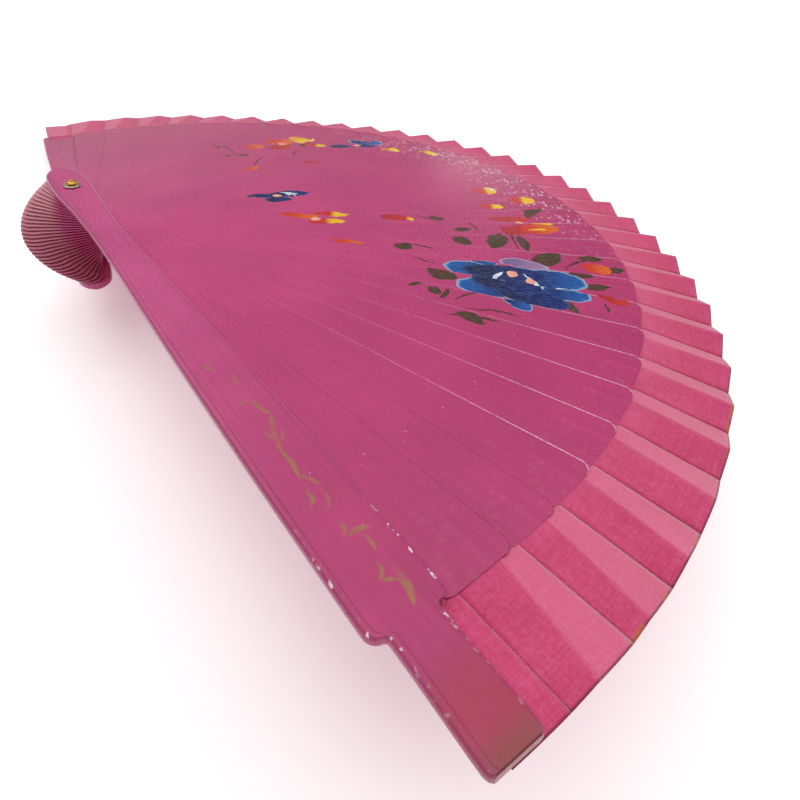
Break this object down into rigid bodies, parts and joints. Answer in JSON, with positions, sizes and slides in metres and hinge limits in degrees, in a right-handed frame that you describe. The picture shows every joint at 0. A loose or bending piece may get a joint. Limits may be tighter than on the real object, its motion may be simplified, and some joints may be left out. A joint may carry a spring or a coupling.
{
  "type": "folding hand fan",
  "caption": "Folding hand fan, open: two shaped guards and flat wooden sticks on one rivet, with a narrow pleated cloth leaf along the rim.",
  "frame": {"origin": "centre of the flat top of the near rivet head, on the axis that every stick turns on", "axes": "+Z along the rivet from the far guard to the near guard, +Y along the middle of the open fan, +X to the near guard's side"},
  "size_m": [0.4231, 0.2299, 0.0517],
  "materials": {
    "guard_lacquer": "glossy lacquer, worn at the edges",
    "stick_lacquer": "thin glossy lacquer with hand painting",
    "leaf_cloth": "plain woven cotton, starched and pleated",
    "rivet_brass": "polished, slightly worn",
    "washer_metal": "pale plated"
  },
  "bodies": {
    "near_guard": {"near_guard": "guard_lacquer", "rivet": "rivet_brass", "washer_near": "washer_metal", "washer_far": "washer_metal"},
    "stick_01": {"stick_01": "stick_lacquer", "leaf_01": "leaf_cloth"},
    "stick_02": {"stick_02": "stick_lacquer"},
    "stick_03": {"stick_03": "stick_lacquer", "leaf_02": "leaf_cloth"},
    "stick_04": {"stick_04": "stick_lacquer"},
    "stick_05": {"stick_05": "stick_lacquer", "leaf_03": "leaf_cloth"},
    "stick_06": {"stick_06": "stick_lacquer"},
    "stick_07": {"stick_07": "stick_lacquer", "leaf_04": "leaf_cloth"},
    "stick_08": {"stick_08": "stick_lacquer"},
    "stick_09": {"stick_09": "stick_lacquer", "leaf_05": "leaf_cloth"},
    "stick_10": {"stick_10": "stick_lacquer"},
    "stick_11": {"stick_11": "stick_lacquer", "leaf_06": "leaf_cloth"},
    "stick_12": {"stick_12": "stick_lacquer"},
    "stick_13": {"stick_13": "stick_lacquer", "leaf_07": "leaf_cloth"},
    "stick_14": {"stick_14": "stick_lacquer"},
    "stick_15": {"stick_15": "stick_lacquer", "leaf_08": "leaf_cloth"},
    "stick_16": {"stick_16": "stick_lacquer"},
    "stick_17": {"stick_17": "stick_lacquer", "leaf_09": "leaf_cloth"},
    "stick_18": {"stick_18": "stick_lacquer"},
    "stick_19": {"stick_19": "stick_lacquer", "leaf_10": "leaf_cloth"},
    "stick_20": {"stick_20": "stick_lacquer"},
    "stick_21": {"stick_21": "stick_lacquer", "leaf_11": "leaf_cloth"},
    "stick_22": {"stick_22": "stick_lacquer"},
    "stick_23": {"stick_23": "stick_lacquer", "leaf_12": "leaf_cloth"},
    "stick_24": {"stick_24": "stick_lacquer"},
    "stick_25": {"stick_25": "stick_lacquer", "leaf_13": "leaf_cloth"},
    "stick_26": {"stick_26": "stick_lacquer"},
    "stick_27": {"stick_27": "stick_lacquer", "leaf_14": "leaf_cloth"},
    "stick_28": {"stick_28": "stick_lacquer"},
    "stick_29": {"stick_29": "stick_lacquer", "leaf_15": "leaf_cloth"},
    "stick_30": {"stick_30": "stick_lacquer"},
    "stick_31": {"stick_31": "stick_lacquer", "leaf_16": "leaf_cloth"},
    "stick_32": {"stick_32": "stick_lacquer"},
    "far_guard": {"far_guard": "guard_lacquer", "leaf_17": "leaf_cloth"}
  },
  "joints": [
    {"name": "fold_01", "type": "hinge", "parent": "near_guard", "child": "stick_01", "pos_m": [0, 0, 0], "axis": [0, 0, 1], "range_deg": [-4.71, 0]},
    {"name": "fold_02", "type": "hinge", "parent": "stick_01", "child": "stick_02", "pos_m": [0, 0, 0], "axis": [0, 0, 1], "range_deg": [-4.35, 0], "deforming": ["leaf_01"]},
    {"name": "fold_03", "type": "hinge", "parent": "stick_02", "child": "stick_03", "pos_m": [0, 0, 0], "axis": [0, 0, 1], "range_deg": [-4.73, 0]},
    {"name": "fold_04", "type": "hinge", "parent": "stick_03", "child": "stick_04", "pos_m": [0, 0, 0], "axis": [0, 0, 1], "range_deg": [-5.23, 0], "deforming": ["leaf_02"]},
    {"name": "fold_05", "type": "hinge", "parent": "stick_04", "child": "stick_05", "pos_m": [0, 0, 0], "axis": [0, 0, 1], "range_deg": [-5.19, 0]},
    {"name": "fold_06", "type": "hinge", "parent": "stick_05", "child": "stick_06", "pos_m": [0, 0, 0], "axis": [0, 0, 1], "range_deg": [-5.16, 0], "deforming": ["leaf_03"]},
    {"name": "fold_07", "type": "hinge", "parent": "stick_06", "child": "stick_07", "pos_m": [0, 0, 0], "axis": [0, 0, 1], "range_deg": [-5.16, 0]},
    {"name": "fold_08", "type": "hinge", "parent": "stick_07", "child": "stick_08", "pos_m": [0, 0, 0], "axis": [0, 0, 1], "range_deg": [-5.17, 0], "deforming": ["leaf_04"]},
    {"name": "fold_09", "type": "hinge", "parent": "stick_08", "child": "stick_09", "pos_m": [0, 0, 0], "axis": [0, 0, 1], "range_deg": [-5.19, 0]},
    {"name": "fold_10", "type": "hinge", "parent": "stick_09", "child": "stick_10", "pos_m": [0, 0, 0], "axis": [0, 0, 1], "range_deg": [-5.21, 0], "deforming": ["leaf_05"]},
    {"name": "fold_11", "type": "hinge", "parent": "stick_10", "child": "stick_11", "pos_m": [0, 0, 0], "axis": [0, 0, 1], "range_deg": [-5.22, 0]},
    {"name": "fold_12", "type": "hinge", "parent": "stick_11", "child": "stick_12", "pos_m": [0, 0, 0], "axis": [0, 0, 1], "range_deg": [-5.24, 0], "deforming": ["leaf_06"]},
    {"name": "fold_13", "type": "hinge", "parent": "stick_12", "child": "stick_13", "pos_m": [0, 0, 0], "axis": [0, 0, 1], "range_deg": [-5.26, 0]},
    {"name": "fold_14", "type": "hinge", "parent": "stick_13", "child": "stick_14", "pos_m": [0, 0, 0], "axis": [0, 0, 1], "range_deg": [-5.28, 0], "deforming": ["leaf_07"]},
    {"name": "fold_15", "type": "hinge", "parent": "stick_14", "child": "stick_15", "pos_m": [0, 0, 0], "axis": [0, 0, 1], "range_deg": [-5.29, 0]},
    {"name": "fold_16", "type": "hinge", "parent": "stick_15", "child": "stick_16", "pos_m": [0, 0, 0], "axis": [0, 0, 1], "range_deg": [-5.3, 0], "deforming": ["leaf_08"]},
    {"name": "fold_17", "type": "hinge", "parent": "stick_16", "child": "stick_17", "pos_m": [0, 0, 0], "axis": [0, 0, 1], "range_deg": [-5.31, 0]},
    {"name": "fold_18", "type": "hinge", "parent": "stick_17", "child": "stick_18", "pos_m": [0, 0, 0], "axis": [0, 0, 1], "range_deg": [-5.31, 0], "deforming": ["leaf_09"]},
    {"name": "fold_19", "type": "hinge", "parent": "stick_18", "child": "stick_19", "pos_m": [0, 0, 0], "axis": [0, 0, 1], "range_deg": [-5.31, 0]},
    {"name": "fold_20", "type": "hinge", "parent": "stick_19", "child": "stick_20", "pos_m": [0, 0, 0], "axis": [0, 0, 1], "range_deg": [-5.3, 0], "deforming": ["leaf_10"]},
    {"name": "fold_21", "type": "hinge", "parent": "stick_20", "child": "stick_21", "pos_m": [0, 0, 0], "axis": [0, 0, 1], "range_deg": [-5.29, 0]},
    {"name": "fold_22", "type": "hinge", "parent": "stick_21", "child": "stick_22", "pos_m": [0, 0, 0], "axis": [0, 0, 1], "range_deg": [-5.28, 0], "deforming": ["leaf_11"]},
    {"name": "fold_23", "type": "hinge", "parent": "stick_22", "child": "stick_23", "pos_m": [0, 0, 0], "axis": [0, 0, 1], "range_deg": [-5.26, 0]},
    {"name": "fold_24", "type": "hinge", "parent": "stick_23", "child": "stick_24", "pos_m": [0, 0, 0], "axis": [0, 0, 1], "range_deg": [-5.24, 0], "deforming": ["leaf_12"]},
    {"name": "fold_25", "type": "hinge", "parent": "stick_24", "child": "stick_25", "pos_m": [0, 0, 0], "axis": [0, 0, 1], "range_deg": [-5.22, 0]},
    {"name": "fold_26", "type": "hinge", "parent": "stick_25", "child": "stick_26", "pos_m": [0, 0, 0], "axis": [0, 0, 1], "range_deg": [-5.21, 0], "deforming": ["leaf_13"]},
    {"name": "fold_27", "type": "hinge", "parent": "stick_26", "child": "stick_27", "pos_m": [0, 0, 0], "axis": [0, 0, 1], "range_deg": [-5.19, 0]},
    {"name": "fold_28", "type": "hinge", "parent": "stick_27", "child": "stick_28", "pos_m": [0, 0, 0], "axis": [0, 0, 1], "range_deg": [-5.17, 0], "deforming": ["leaf_14"]},
    {"name": "fold_29", "type": "hinge", "parent": "stick_28", "child": "stick_29", "pos_m": [0, 0, 0], "axis": [0, 0, 1], "range_deg": [-5.16, 0]},
    {"name": "fold_30", "type": "hinge", "parent": "stick_29", "child": "stick_30", "pos_m": [0, 0, 0], "axis": [0, 0, 1], "range_deg": [-5.16, 0], "deforming": ["leaf_15"]},
    {"name": "fold_31", "type": "hinge", "parent": "stick_30", "child": "stick_31", "pos_m": [0, 0, 0], "axis": [0, 0, 1], "range_deg": [-5.15, 0]},
    {"name": "fold_32", "type": "hinge", "parent": "stick_31", "child": "stick_32", "pos_m": [0, 0, 0], "axis": [0, 0, 1], "range_deg": [-5.16, 0], "deforming": ["leaf_16"]},
    {"name": "fold_33", "type": "hinge", "parent": "stick_32", "child": "far_guard", "pos_m": [0, 0, 0], "axis": [0, 0, 1], "range_deg": [-5.26, 0], "deforming": ["leaf_17"]}
  ],
  "couplings": [
    {"joint": "fold_02", "follows": "fold_01", "ratio": 0.92356},
    {"joint": "fold_03", "follows": "fold_01", "ratio": 1.0047},
    {"joint": "fold_04", "follows": "fold_01", "ratio": 1.1113},
    {"joint": "fold_05", "follows": "fold_01", "ratio": 1.1028},
    {"joint": "fold_06", "follows": "fold_01", "ratio": 1.0949},
    {"joint": "fold_07", "follows": "fold_01", "ratio": 1.0964},
    {"joint": "fold_08", "follows": "fold_01", "ratio": 1.0985},
    {"joint": "fold_09", "follows": "fold_01", "ratio": 1.1017},
    {"joint": "fold_10", "follows": "fold_01", "ratio": 1.1053},
    {"joint": "fold_11", "follows": "fold_01", "ratio": 1.1091},
    {"joint": "fold_12", "follows": "fold_01", "ratio": 1.1134},
    {"joint": "fold_13", "follows": "fold_01", "ratio": 1.1172},
    {"joint": "fold_14", "follows": "fold_01", "ratio": 1.1208},
    {"joint": "fold_15", "follows": "fold_01", "ratio": 1.124},
    {"joint": "fold_16", "follows": "fold_01", "ratio": 1.1261},
    {"joint": "fold_17", "follows": "fold_01", "ratio": 1.1276},
    {"joint": "fold_18", "follows": "fold_01", "ratio": 1.1282},
    {"joint": "fold_19", "follows": "fold_01", "ratio": 1.1276},
    {"joint": "fold_20", "follows": "fold_01", "ratio": 1.1261},
    {"joint": "fold_21", "follows": "fold_01", "ratio": 1.124},
    {"joint": "fold_22", "follows": "fold_01", "ratio": 1.1208},
    {"joint": "fold_23", "follows": "fold_01", "ratio": 1.1172},
    {"joint": "fold_24", "follows": "fold_01", "ratio": 1.1134},
    {"joint": "fold_25", "follows": "fold_01", "ratio": 1.1091},
    {"joint": "fold_26", "follows": "fold_01", "ratio": 1.1053},
    {"joint": "fold_27", "follows": "fold_01", "ratio": 1.1017},
    {"joint": "fold_28", "follows": "fold_01", "ratio": 1.0985},
    {"joint": "fold_29", "follows": "fold_01", "ratio": 1.0964},
    {"joint": "fold_30", "follows": "fold_01", "ratio": 1.0949},
    {"joint": "fold_31", "follows": "fold_01", "ratio": 1.0943},
    {"joint": "fold_32", "follows": "fold_01", "ratio": 1.0949},
    {"joint": "fold_33", "follows": "fold_01", "ratio": 1.1166}
  ]
}
